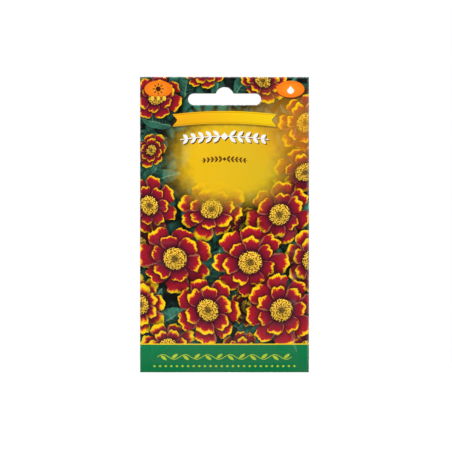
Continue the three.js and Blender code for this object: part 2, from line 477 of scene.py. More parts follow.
class Motif:
    """A printed motif that stands in many places, kept as a group of nodes.

    The group's inputs are the picture under the motif, the page's values that the motif reads, and
    each field of its place, which is of the class that the motif names.
    """

    name: str
    reads: tuple[str, ...]
    place: type

    def __post_init__(self) -> None:
        """Builds the group of nodes."""
        numbers = (*self.reads, *(row.name for row in fields(self.place)))
        self.group = NodeGroup(self.name, ("under",), numbers, NodeGroup.COLOUR)
        self.group.finish(self.over(self.group.tree, self.group.given))

    def over(self, tree: ShaderTree, given: SimpleNamespace) -> Socket:
        """Returns the picture with the motif laid over it, from the group's inputs."""
        raise NotImplementedError


@dataclass
class BloomMotif(Motif):
    """A many-petalled bloom: two rings of petals round a grainy disc. Sizes are shares of its radius."""

    name = "printed_bloom"
    reads = ("page_x", "page_up", "wobble", "grain")
    place = BloomPlace
    inner_reach: float = 0.7
    disc: float = 0.29
    disc_fray: float = 0.06
    eye_rim: float = 0.13
    petal_length_spread: float = 0.14
    petal_end: float = 0.30
    ripple: float = 0.022

    def over(self, tree: ShaderTree, given: SimpleNamespace) -> Socket:
        """Lays the bloom over the picture.

        Args:
            tree: the group's tree.
            given: the group's inputs.

        Returns:
            The new picture.
        """
        across = (given.page_x - given.x) / given.radius
        up = (given.page_up - given.up) / given.radius
        cosine, sine = given.lean.cos(), given.lean.sin()
        along = across * cosine + up * sine
        aside = (up * cosine - across * sine) / given.squash
        distance = along.hypot(aside)
        angle = aside.angle_to(along) + given.turn + given.wobble * 0.25
        seed = given.turn * 17.0 + given.x

        outer_inside, outer = self.ring(given, distance, angle, given.petals, 1.0, 0.0, seed)
        inner_inside, inner = self.ring(
            given, distance, angle, given.petals - 1.0, self.inner_reach, 0.5, seed + 40.0)
        petals = tree.shaded(outer, 1.0 - inner_inside.rise(-0.14, 0.0) * 0.5)
        petals = tree.mix(inner_inside.rise(0.0, 0.03), petals, inner)

        disc_inside = self.disc + (given.grain - 0.5) * self.disc_fray - distance
        petals = tree.shaded(petals, 1.0 - disc_inside.rise(-0.13, 0.0) * 0.55)
        granules = tree.mix(given.grain.rise(0.25, 0.75), INKS.gold_shadow, INKS.gold)
        disc = tree.mix(distance.rise(self.eye_rim, 0.05) * 0.8, granules, INKS.eye)
        disc = tree.shaded(disc, 0.82 + distance.rise(0.05, 0.2) * 0.3 + up * 0.8)
        bloom = tree.mix(disc_inside.rise(0.0, 0.02), petals, disc)
        bloom = tree.shaded(bloom, given.light)

        inside = outer_inside.most(inner_inside)
        under = tree.shaded(given.under, 1.0 - inside.rise(-0.28, 0.02) * given.shadow)
        return tree.mix(inside.rise(0.0, 0.025), under, bloom)

    def ring(self, given: SimpleNamespace, distance: Socket, angle: Socket, petals: Socket, reach: float,
             offset: float, seed: Socket) -> tuple[Socket, Socket]:
        """Draws one ring of petals.

        Args:
            given: the group's inputs.
            distance: from the bloom's middle, 1 at its edge.
            angle: round the bloom.
            petals: how many petals the ring has.
            reach: how far they reach.
            offset: how far the ring is turned, in petals.
            seed: what the petals' random draws start from.

        Returns:
            How far a point lies inside the ring's outline, and the ring's colour there.
        """
        tree = distance.tree
        turns = angle * (petals / TAU) + offset
        index = turns.floor() % petals
        across = turns.fract() - 0.5
        first = (index + seed).draw()
        second = (index + seed * 1.7 + 11.3).draw()
        side = abs(across * 2.0 + (second - 0.5) * 0.25)
        rounding = side ** 4.0 * self.petal_end
        ripple = (across * (TAU * 2.6) + first * 9.0).sin() * self.ripple
        length = first * self.petal_length_spread + (1.0 - self.petal_length_spread)
        radial = length * reach + ripple + given.wobble * 0.14 - distance
        inside = radial - rounding * reach

        vein = (across * (TAU * 8.0) + second * 6.0).sin() * 0.55 + (across * (TAU * 19.0)).sin() * 0.45
        depth = radial * 0.6 + inside * 0.4 + vein * 0.02 + given.wobble * 0.10
        rim = (depth * given.redness).rise(first * 0.08 + 0.095, first * 0.04 + 0.015)
        heat = (distance / reach).rise(0.35, 1.0)
        body = tree.mix(heat, INKS.maroon, INKS.crimson)
        body = tree.shaded(body, 0.95 + vein * 0.16)
        colour = tree.mix(rim.ramp(0.0, 0.5), body, INKS.ember)
        colour = tree.mix(rim.ramp(0.35, 0.9), colour, INKS.yellow)
        lip = across.ramp(0.38, 0.44) * across.ramp(0.49, 0.45) * distance.ramp(0.3, 0.45)
        colour = tree.mix(lip * 0.8, colour, INKS.petal_edge)
        fold = abs(across).rise(0.34, 0.5)
        crown = (across * TAU).cos() * 0.10
        return inside, tree.shaded(colour, 1.02 + crown - fold * 0.45)


@dataclass
class LeafMotif(Motif):
    """A leaf: a pointed blade with a saw-toothed edge, a midrib and side veins."""

    name = "printed_leaf"
    reads = ("page_x", "page_up", "wobble")
    place = LeafPlace
    teeth: float = 9.0
    tooth_depth: float = 0.06
    vein_slant: float = 1.6

    def over(self, tree: ShaderTree, given: SimpleNamespace) -> Socket:
        """Lays the leaf over the picture.

        Args:
            tree: the group's tree.
            given: the group's inputs.

        Returns:
            The new picture.
        """
        across = given.page_x - given.x
        up = given.page_up - given.up
        cosine, sine = given.heading.cos(), given.heading.sin()
        along = (across * cosine + up * sine) / given.length
        aside = (up * cosine - across * sine) / given.width + given.wobble * 0.3
        bow = along * (1.0 - along) * 4.0
        half = bow.most(0.0) ** 0.8 * 0.5 + bow.least(0.0) * 2.0
        slant = along * self.teeth - abs(aside) * self.vein_slant
        tooth = slant.fract() * self.tooth_depth
        inside = half + tooth * half - abs(aside)
        vein = abs(slant.fract() - 0.5).rise(0.10, 0.02) * 0.35 + abs(aside).rise(0.05, 0.01) * 0.7
        blade = tree.mix(aside.ramp(-0.03, 0.03) * 0.5 + along * 0.5, INKS.leaf_dark, INKS.leaf)
        blade = tree.mix(vein, blade, INKS.leaf_light)
        blade = tree.shaded(blade, (given.wobble * 1.2 + along * 0.35 + 0.75) * given.light)
        under = tree.shaded(given.under, 1.0 - inside.rise(-0.3, 0.0) * given.shadow)
        return tree.mix(inside.rise(0.0, 0.04), under, blade)


@dataclass
class SprigMotif:
    """A plain divider: a small lozenge with a leafy twig running out to each side, in millimetres."""

    start: float = 2.6
    pitch: float = 4.3
    leaves: int = 5
    leaf_length: float = 5.3
    leaf_shortening: float = 0.07
    leaf_half_width: float = 0.95
    leaf_angle: float = math.radians(43)
    twig: float = 0.24
    droop: float = 0.0032
    lozenge: float = 2.1

    def __post_init__(self) -> None:
        """Builds the group of nodes, which gives how far a point lies inside the divider."""
        self.group = NodeGroup("printed_sprig", (), ("x", "up"), NodeGroup.NUMBER)
        given = self.group.given
        out = abs(given.x)
        off_twig = abs(given.up + out * out * self.droop)
        run = ((out - self.start) / self.pitch).fract() * self.pitch
        cosine, sine = math.cos(self.leaf_angle), math.sin(self.leaf_angle)
        length = self.leaf_length - out * self.leaf_shortening
        along = (run * cosine + off_twig * sine) / length
        aside = off_twig * cosine - run * sine
        leaf = along * (1.0 - along) * (4.0 * self.leaf_half_width) - abs(aside)
        end = self.start + self.pitch * self.leaves - out
        twig = (self.twig - off_twig).least(end)
        leaves = leaf.least(out - self.start).least(end)
        lozenge = self.lozenge - out - abs(given.up)
        self.group.finish(leaves.most(twig).most(lozenge))

    def lay(self, page: Page, up: float, paint: Colour, scale: float = 1.0, shift: float = 0.0) -> None:
        """Prints one divider across the page's middle.

        Args:
            page: the page.
            up: how high its middle stands.
            paint: its ink.
            scale: its size.
            shift: how far it is moved right and down, as a shadow is.
        """
        inside = self.group.use(page.tree, {
            "x": (page.x - shift) * (1 / scale), "up": (page.up - (up - shift)) * (1 / scale)})
        page.cover(inside.ramp(-page.SOFT_EDGE, page.SOFT_EDGE), paint)


class Motifs:
    """The three motifs of the packet's prints, made once for both panels."""

    def __init__(self) -> None:
        """Builds their groups of nodes."""
        self.bloom = BloomMotif()
        self.leaf = LeafMotif()
        self.sprig = SprigMotif()


class Page:
    """A panel's printed page: places on it, the soft randomness they share, and the picture so far.

    The renderer joins nodes that work out the same value and holds on to that value, and its memory
    for one material is small. So things that stand in line have places with unlike last digits.
    """

    SOFT_EDGE = 0.06

    def __init__(self, tree: ShaderTree) -> None:
        """Reads the places from the panel's own coordinates.

        Args:
            tree: the material's tree.
        """
        self.tree = tree
        self.picture: Paint = INKS.white
        self.x = tree.read("ShaderNodeAttribute", "Fac", {"attribute_name": "page_x"})
        self.up = tree.read("ShaderNodeAttribute", "Fac", {"attribute_name": "page_up"})
        self.place = tree.read("ShaderNodeTexCoord", "Object")
        self.flat = self.turned(0.0, 1.0)
        self.wobble = tree.noise(self.flat, scale=0.28, detail=3.0, roughness=0.6) - 0.5
        cells = tree.read(
            "ShaderNodeTexVoronoi", "Distance", {"voronoi_dimensions": "2D"},
            {"Vector": self.flat, "Scale": 1.2},
        )
        self.grain = cells.rise(0.75, 0.1)
        self.rub = tree.noise(self.flat, scale=0.6, detail=4.0, roughness=0.7)
        self.shared = {"page_x": self.x, "page_up": self.up, "wobble": self.wobble, "grain": self.grain}

    def turned(self, angle: float, stretch: float) -> Socket:
        """Turns the page's places, in millimetres, and draws them out along one way.

        Args:
            angle: how far the page is turned, in radians.
            stretch: how much longer a pattern is along the page's own across.

        Returns:
            The places, lying flat in x and y.
        """
        flat = self.tree.read("ShaderNodeMapping", 0, {"vector_type": "POINT"}, {
            "Vector": self.place, "Rotation": (-math.pi / 2, 0.0, 0.0), "Scale": (1 / MM, 1 / MM, 1 / MM)})
        return self.tree.read("ShaderNodeMapping", 0, {"vector_type": "TEXTURE"}, {
            "Vector": flat, "Rotation": (0.0, 0.0, angle), "Scale": (stretch, 1.0, 1.0)})

    def off_disc(self, x: float, up: float, radius: float, squash: float = 1.0) -> Socket:
        """Works out how far each point lies outside a disc, which is less than 0 inside it.

        Args:
            x, up: the disc's middle.
            radius: its half width.
            squash: its height over its width.

        Returns:
            The distance, in millimetres.
        """
        across, rise = self.x - x, (self.up - up) / squash
        return across.hypot(rise) - radius

    def off_box(self, left: float, right: float, low: float, high: float, corner: float) -> Socket:
        """Works out how far each point lies outside a round-cornered box, less than 0 inside it.

        Args:
            left, right, low, high: the box's sides.
            corner: the radius of its corners.

        Returns:
            The distance, in millimetres.
        """
        across = abs(self.x - (left + right) / 2) - ((right - left) / 2 - corner)
        rise = abs(self.up - (low + high) / 2) - ((high - low) / 2 - corner)
        out_x, out_up = across.most(0.0), rise.most(0.0)
        return out_x.hypot(out_up) + across.most(rise).least(0.0) - corner

    def cover(self, share: Value, paint: Paint) -> None:
        """Lays a colour over the picture, given how much of it shows."""
        self.picture = self.tree.mix(share, self.picture, paint)

    def shade(self, light: Value) -> None:
        """Multiplies the picture by a brightness."""
        self.picture = self.tree.shaded(self.picture, light)

    def ink(self, away: Socket, paint: Paint, strength: float = 1.0) -> None:
        """Prints a shape over the picture, given how far each point lies outside it."""
        self.cover(away.ramp(self.SOFT_EDGE, -self.SOFT_EDGE) * strength, paint)

    def lay(self, motif: Motif, places: Sequence[BloomPlace | LeafPlace]) -> None:
        """Lays a motif over the picture at each of its places.

        Args:
            motif: what is laid.
            places: where, from the back of the picture to its front.
        """
        read = {name: self.shared[name] for name in motif.reads}
        for place in places:
            self.picture = motif.group.use(self.tree, {"under": self.picture, **read, **place.inputs()})

    def sun(self, x: float, up: float, paint: Colour) -> None:
        """Prints a plain sun with eight rays.

        Args:
            x, up: its middle.
            paint: its ink.
        """
        across, rise = self.x - x, self.up - up
        radius = across.hypot(rise)
        rays = ((rise.angle_to(across) * 8.0).cos() - radius * 0.5 + 0.67).ramp(0.0, 0.12)
        ring = radius.ramp(1.75, 1.9) * radius.ramp(3.25, 3.1)
        self.cover(radius.ramp(1.45, 1.35).most(rays * ring), paint)

    def drop(self, x: float, up: float, paint: Colour) -> None:
        """Prints a plain water drop.

        Args:
            x, up: the middle of its round part.
            paint: its ink.
        """
        rise = (self.up - up) / 1.9
        round_part = (1.0 - rise * rise).most(0.0).root()
        taper = rise.rise(1.7, -0.3)
        width = self.tree.slide(rise.ramp(0.0, 0.5), round_part, taper)
        self.ink(abs(self.x - x) - width * 2.0 + 0.1, paint)


@dataclass
class Artwork:
    """What is printed on one panel, painted on its page from the back to the front."""

    page: Page
    motifs: Motifs

    def paint(self) -> None:
        """Paints the whole page."""
        raise NotImplementedError


@dataclass
class FrontPrint(Artwork):
    """The front: blooms over leaves, a golden glow under the slot, a ribbon, two badges and a green foot."""

    # The heading, scale and brightness of each layer of the thicket.
    thicket_layers: tuple[tuple[float, float, float], ...] = (
        (0.5, 0.11, 0.7), (2.0, 0.14, 0.9), (1.2, 0.12, 1.15))
    glow_middle: tuple[float, float] = (3.02, 116.1)
    glow_half: tuple[float, float] = (34.0, 27.0)
    glow_roundness: float = 2.6
    white_divider: float = 128.61
    brown_divider: float = 116.23
    brown_divider_scale: float = 0.52
    divider_shadow: float = 0.55
    ribbon_up: float = 139.0
    ribbon_arch: float = 0.0022
    ribbon_half: tuple[float, float] = (28.1, 3.4)
    ribbon_notch: float = 2.2
    oval_middle: tuple[float, float] = (36.0, 154.4)
    oval_half: tuple[float, float] = (7.6, 4.6)
    beads_up: float = 149.34
    bead_pitch: float = 1.62
    bead_radius: float = 1.35
    foot_top: float = 15.2
    scroll_up: float = 8.46
    scroll_pitch: float = 6.1
    scroll_swing: float = 1.25
    scroll_end: float = 36.61
    lozenges_up: float = 3.42
    lozenge_pitch: float = 3.05
    lozenges_end: float = 39.66

    def paint(self) -> None:
        """Paints the whole front."""
        self.thicket()
        self.page.lay(self.motifs.leaf, FRONT_LEAVES)
        self.page.lay(self.motifs.bloom, FRONT_BLOOMS)
        self.glow()
        self.ribbon()
        self.badges()
        self.foot()

    def thicket(self) -> None:
        """Paints the growth behind the blooms: small leaves in three directions over near black."""
        page, tree = self.page, self.page.tree
        page.picture = tree.mix(page.wobble.rise(-0.2, 0.2), INKS.night, INKS.leaf_dark)
        for heading, size, light in self.thicket_layers:
            cell = tree.node(
                "ShaderNodeTexVoronoi", {"voronoi_dimensions": "2D", "distance": "MINKOWSKI"},
                {"Vector": page.turned(heading, 2.5), "Scale": size, "Randomness": 1.0, "Exponent": 1.3},
            )
            distance = Socket(tree, cell.outputs["Distance"])
            chance = tree.read("ShaderNodeSeparateColor", 0, None, {0: Socket(tree, cell.outputs["Color"])})
            blade = tree.mix(distance.rise(0.15, 0.42), INKS.leaf, INKS.leaf_dark)
            blade = tree.shaded(blade, (chance + page.rub * 0.6) * light)
            shown = distance.ramp(0.385, 0.375) * chance.ramp(0.2, 0.22)
            page.shade(1.0 - distance.rise(0.55, 0.38) * 0.6)
            page.cover(shown, blade)

    def glow(self) -> None:
        """Paints the soft golden glow under the slot, an orange haze to its right and two dividers."""
        page, tree, power = self.page, self.page.tree, self.glow_roundness
        across = abs(page.x - self.glow_middle[0]) / self.glow_half[0]
        up = abs(page.up - self.glow_middle[1]) / self.glow_half[1]
        reach = (across ** power + up ** power) ** (1 / power) + page.wobble * 0.26
        share = reach.rise(1.15, 0.55)
        middle = tree.mix(page.x.rise(-20.0, 36.0), INKS.glow, INKS.glow_shade)
        golden = tree.mix(share.ramp(0.3, 0.95), INKS.glow_rim, middle)
        page.cover(share * 0.96, golden)
        haze = page.off_disc(33.1, 132.2, 9.0).rise(19.0, -2.0)
        page.cover(haze * 0.42, INKS.orange)
        self.motifs.sprig.lay(page, self.white_divider + 0.01, INKS.umber, shift=self.divider_shadow)
        self.motifs.sprig.lay(page, self.white_divider, INKS.white)
        self.motifs.sprig.lay(page, self.brown_divider, INKS.umber, scale=self.brown_divider_scale)

    def ribbon(self) -> None:
        """Paints a plain arched ribbon below the slot, with notched ends and two thin lines."""
        page, tree = self.page, self.page.tree
        middle = self.ribbon_up - page.x * page.x * self.ribbon_arch
        away = abs(page.up - middle)
        half_length, half_height = self.ribbon_half
        tail = abs(page.x) + away.rise(half_height, 0.0) * self.ribbon_notch
        inside = away.rise(half_height + 0.1, half_height - 0.1) * tail.rise(
            half_length + 0.1, half_length - 0.1)
        shadow = abs(page.up - middle + 0.7).rise(half_height + 0.8, half_height - 0.2) * tail.rise(
            half_length + 1.1, half_length - 0.3)
        paper = tree.mix(page.x.rise(-31.0, 29.0), INKS.ribbon, INKS.yellow)
        paper = tree.shaded(paper, (page.up - middle).ramp(-3.6, 3.6) * 0.12 + 0.9)
        paper = tree.mix((abs(away - 2.75) - 0.13).ramp(0.05, -0.05) * 0.7, paper, INKS.ribbon_line)
        page.shade(1.0 - shadow * 0.5)
        page.cover(inside, paper)

    def corner_oval(self, x: float, up: float, half_width: float, half_height: float) -> Socket:
        """Works out how far each point lies from the middle of an oval in each top corner.

        Args:
            x, up: the oval's middle, in the right corner.
            half_width, half_height: its half sizes.

        Returns:
            The distance as a share: 0 in the middle and 1 along the oval's edge.
        """
        return ((abs(self.page.x) - x) / half_width).hypot((self.page.up - up) / half_height)

    def badges(self) -> None:
        """Paints two orange ovals in the top corners: a sun over three beads, and a drop."""
        page = self.page
        (x, up), (half_width, half_height) = self.oval_middle, self.oval_half
        oval = self.corner_oval(x, up, half_width, half_height)
        shadow = self.corner_oval(x + 0.4, up - 0.5, half_width + 0.2, half_height + 0.2)
        page.cover(shadow.rise(1.06, 0.98) * 0.8, INKS.badge_shadow)
        face = page.tree.mix(oval.rise(0.2, 1.0), INKS.badge, INKS.badge_rim)
        page.cover(oval.rise(1.02, 0.98), face)

        off_bead = abs(abs(page.x + 36.04) - self.bead_pitch) - self.bead_pitch
        rise = page.up - self.beads_up
        beads = (off_bead * off_bead * 1.7 + rise * rise).root() - self.bead_radius
        beads = beads.most(abs(page.x + 36.05) - 4.9)
        page.ink(beads - 0.28, INKS.badge_shadow, 0.8)
        page.ink(beads, INKS.gold)
        page.sun(-36.07, 154.43, INKS.badge_shadow)
        page.drop(36.03, 153.7, INKS.white)

    def foot(self) -> None:
        """Paints the green foot: a yellow line along its top, a leafy scroll and a row of lozenges."""
        page, tree = self.page, self.page.tree
        page.cover(page.up.rise(self.foot_top + 0.6, self.foot_top + 0.5), INKS.yellow)
        above = page.picture
        page.picture = tree.mix(page.up.rise(0.0, self.foot_top), INKS.footer_deep, INKS.footer)

        place = page.x * (1 / self.scroll_pitch)
        run = (place.fract() - 0.5) * self.scroll_pitch
        # Every other span of the scroll hangs down.
        turned = 1.0 - (place * 0.5).fract().ramp(0.4999, 0.5001) * 2.0
        rise = (page.up - self.scroll_up) * turned
        stem = abs(rise - (run * (math.pi / self.scroll_pitch)).cos() * self.scroll_swing) - 0.2
        leaf_run, leaf_rise = run - 0.35, rise + 0.45
        along = (leaf_run * 0.8 - leaf_rise * 0.6) * (1 / 2.1)
        aside = leaf_run * 0.6 + leaf_rise * 0.8
        leaf = abs(aside) - (1.0 - along * along) * 0.8
        page.ink(stem.least(leaf).most(abs(page.x) - self.scroll_end), INKS.lime)

        lozenge = abs(page.x.within(self.lozenge_pitch)) + abs(page.up - self.lozenges_up) * 1.3 - 0.85
        page.ink(lozenge.most(abs(page.x) - self.lozenges_end), INKS.lime, 0.9)
        page.picture = tree.mix(page.up.rise(self.foot_top, self.foot_top - 0.1), above, page.picture)


@dataclass
class BackPrint(Artwork):
    """The back: a pale page with a picture, plain signs, a sowing calendar and a growing diagram."""

    # A box is its left, right, low and high side, and a stem has the radius of its corners too.
    months: int = 12
    calendar_box: tuple[float, float, float, float] = (-41.0, 41.0, 62.0, 84.0)
    calendar_head: float = 3.0
    calendar_rows: int = 3
    # Each season's first and last month, its height and its ink.
    seasons: tuple[tuple[float, float, float, Colour], ...] = (
        (2, 4, 77.8, INKS.footer), (4, 5.5, 71.5, INKS.soil_light), (5.5, 10, 65.2, INKS.badge))
    picture_box: tuple[float, float, float, float] = (-42, -3, 92, 130)
    soil_box: tuple[float, float, float, float] = (-42, 42, 20, 30.5)
    sown_seed: tuple[float, float, float] = (-28.2, 27.2, 1.9)
    stems: tuple[tuple[float, ...], ...] = ((-0.25, 0.35, 27.0, 38.0, 0.25), (27.8, 28.7, 25.5, 45.0, 0.3))
    sign_middles: tuple[float, float, float] = (123.1, 110.9, 98.7)
    sign_x: float = 6.2
    sign_radius: float = 5.4
    ruled_pitch: float = 6.1

    def paint(self) -> None:
        """Paints the whole back."""
        page = self.page
        page.picture = page.tree.mix(page.wobble.rise(-0.3, 0.4), INKS.cream, INKS.white)
        self.window()
        self.growing()
        self.signs()
        self.ruled_lines()
        self.calendar()
        self.bands()

    def window(self) -> None:
        """Paints a small picture of two blooms in a round-cornered green frame."""
        page = self.page
        paper = page.picture
        page.picture = page.tree.mix(page.wobble.rise(-0.2, 0.3), INKS.night, INKS.leaf_dark)
        page.lay(self.motifs.leaf, PICTURE_LEAVES)
        page.lay(self.motifs.bloom, PICTURE_BLOOMS)
        away = page.off_box(*self.picture_box, 3.0)
        page.cover(away.ramp(-0.05, 0.05), paper)
        page.ink(abs(away - 0.3) - 0.45, INKS.footer)

    def growing(self) -> None:
        """Paints a seed, a seedling and a plant in bloom, in a strip of soil."""
        page = self.page
        crumbs = page.tree.mix(page.grain, INKS.soil, INKS.soil_light)
        page.ink(page.off_box(*self.soil_box, 2.0), crumbs)
        page.ink(page.off_disc(*self.sown_seed, squash=0.4), INKS.night)
        for stem in self.stems:
            page.ink(page.off_box(*stem), INKS.stem)
        page.lay(self.motifs.leaf, GROWING_LEAVES)
        page.lay(self.motifs.bloom, GROWING_BLOOMS)

    def signs(self) -> None:
        """Paints three round signs beside the picture: sun, water and the space between plants."""
        page, x = self.page, self.sign_x
        for up in self.sign_middles:
            away = page.off_disc(x, up, self.sign_radius)
            page.ink(away, INKS.badge)
            page.ink(abs(away) - 0.3, INKS.badge_shadow, 0.8)
        page.sun(x + 0.03, 123.13, INKS.white)
        page.drop(x + 0.03, 110.3, INKS.white)
        page.ink(abs(abs(page.x - (x + 0.01)) - 3.1).most(abs(page.up - 98.71) - 1.9) - 0.3, INKS.white)
        page.ink((abs(page.x - (x + 0.02)) - 2.9).most(abs(page.up - 98.72) - 0.28), INKS.white)

    def ruled_lines(self) -> None:
        """Paints blank ruled lines to the right of the signs."""
        page = self.page
        lines = abs(page.up.within(self.ruled_pitch)) - 0.45
        ends = (abs(page.x - 28.3) - 12.6).most(abs(page.up - 111.1) - 17.3)
        page.ink(lines.most(ends), INKS.rule, 0.8)

    def calendar(self) -> None:
        """Paints a plain grid of twelve months, with bars for sowing, planting out and flowering."""
        page = self.page
        left, right, low, high = self.calendar_box
        month = (right - left) / self.months
        row = (high - low - self.calendar_head) / self.calendar_rows
        away = page.off_box(left, right, low, high, 1.0)
        page.ink(away, INKS.white)
        across = (page.x - left) * (1 / month)
        for first, last, up, paint in self.seasons:
            bar = page.off_box(left + first * month, left + last * month, up - 1.8, up + 1.8, 0.7)
            page.ink(bar, paint)
        upright = (0.5 - abs(across.fract() - 0.5)) * month - 0.12
        rows = ((page.up - low) * (1 / row)).fract()
        level = (0.5 - abs(rows - 0.5)) * row - 0.1
        page.ink(upright.least(level).most(away), INKS.rule)
        page.ink(((high - self.calendar_head) - page.up).most(away), INKS.footer)
        page.ink(abs(away) - 0.25, INKS.footer)

    def bands(self) -> None:
        """Paints the green head and foot, each with a thin yellow line."""
        page = self.page
        page.cover(page.up.ramp(11.6, 11.5).most(page.up.ramp(135.4, 135.5)), INKS.yellow)
        page.cover(page.up.ramp(11.0, 10.9).most(page.up.ramp(136.0, 136.1)), INKS.footer)


# ---- The packet's sizes and its panels ----


def arc(centre: Sequence[float], radius: float, start: float, end: float, steps: int) -> list[tuple]:
    """Finds points along an arc, both ends included.

    Args:
        centre: the arc's middle, as (x, z).
        radius: its radius.
        start, end: its angles, in radians.
        steps: how many chords it has.

    Returns:
        The points, as (x, z).
    """
    turns = np.linspace(start, end, steps + 1)
    return [(centre[0] + radius * math.cos(t), centre[1] + radius * math.sin(t)) for t in turns]


def closed_loop(count: int, first: int = 0) -> list[tuple[int, int]]:
    """Returns the edges of a closed loop through a count of points, numbered in order from first."""
    return [(first + i, first + (i + 1) % count) for i in range(count)]


def inside_outline(points: np.ndarray, ring: np.ndarray) -> np.ndarray:
    """Tells which points lie inside a closed outline.

    Args:
        points: the points, as rows of x and z.
        ring: the outline's corners in order.

    Returns:
        One True or False for each point.
    """
    inside = np.zeros(len(points), bool)
    for (x0, z0), (x1, z1) in zip(ring, np.roll(ring, -1, axis=0)):
        spans = (z0 > points[:, 1]) != (z1 > points[:, 1])
        if z0 != z1:
            cross = x0 + (points[:, 1] - z0) * (x1 - x0) / (z1 - z0)
            inside ^= spans & (points[:, 0] < cross)
    return inside


@dataclass(frozen=True)
class PacketSize:
    """The packet's own sizes, in metres, as in the frame.

    The pocket is fullest at a share of its height, and the steps are the chords of the slot's arcs.
    """

    left: float
    right: float
    bottom: float
    top: float
    thickness: float = 0.2 * MM
    side_seal: float = 6 * MM
    bottom_seal: float = 6 * MM
    header: float = 22 * MM
    bulge: float = 2.0 * MM
    fullest_at: float = 0.24
    side_power: float = 3.2
    top_power: float = 1.6
    bottom_power: float = 3.4
    slot_width: float = 39.7 * MM
    slot_height: float = 6.2 * MM
    hump_height: float = 3.5 * MM
    hump_half_width: float = 4.7 * MM
    shoulder: float = 0.8 * MM
    end_steps: int = 24
    shoulder_steps: int = 8
    hump_steps: int = 32

    @classmethod
    def from_frame(cls, node: str) -> PacketSize:
        """Reads the outline from a panel of the frame."""
        low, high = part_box(node)
        return cls(left=low.x, right=high.x, bottom=low.z, top=high.z)

    @property
    def pocket(self) -> tuple[float, float, float]:
        """The pocket's half width, its bottom and its top."""
        return self.right - self.side_seal, self.bottom + self.bottom_seal, self.top - self.header

    @property
    def slot_end(self) -> tuple[float, float, float]:
        """The middle of the slot's round right end, as x and z, and its radius."""
        radius = self.slot_height / 2
        return self.slot_width / 2 - radius, -self.hump_height - radius, radius

    @property
    def hump_radius(self) -> float:
        """The radius of the hump in the slot's top edge, whose top is at z = 0."""
        return (self.hump_half_width ** 2 + self.hump_height ** 2) / (2 * self.hump_height)

    def slot_outline(self) -> list[tuple]:
        """Draws the hang slot's outline: a bar with round ends and a hump on its top edge.

        Returns:
            The outline's points in order, as (x, z).
        """
        x, z, end = self.slot_end
        hump, quarter = self.hump_radius, math.pi / 2
        shoulder_z = self.shoulder - self.hump_height
        shoulder_x = math.sqrt((hump + self.shoulder) ** 2 - (shoulder_z + hump) ** 2)
        lean = math.atan2(shoulder_z + hump, shoulder_x)
        return [
            *arc((x, z), end, -quarter, quarter, self.end_steps),
            *arc((shoulder_x, shoulder_z), self.shoulder, -quarter, lean - math.pi, self.shoulder_steps),
            *arc((0.0, -hump), hump, lean, math.pi - lean, self.hump_steps)[1:-1],
            *arc((-shoulder_x, shoulder_z), self.shoulder, -lean, -quarter, self.shoulder_steps),
            *arc((-x, z), end, quarter, 3 * quarter, self.end_steps),
        ]


class Side(Enum):
    """Which panel of the packet a sheet is, by the way its print faces."""

    FRONT = -1
    BACK = 1


class PanelPart(Enum):
    """The parts of a panel that are finished differently, in the order of its material slots."""

    PRINT = 0
    EDGE = 1
    LINING = 2


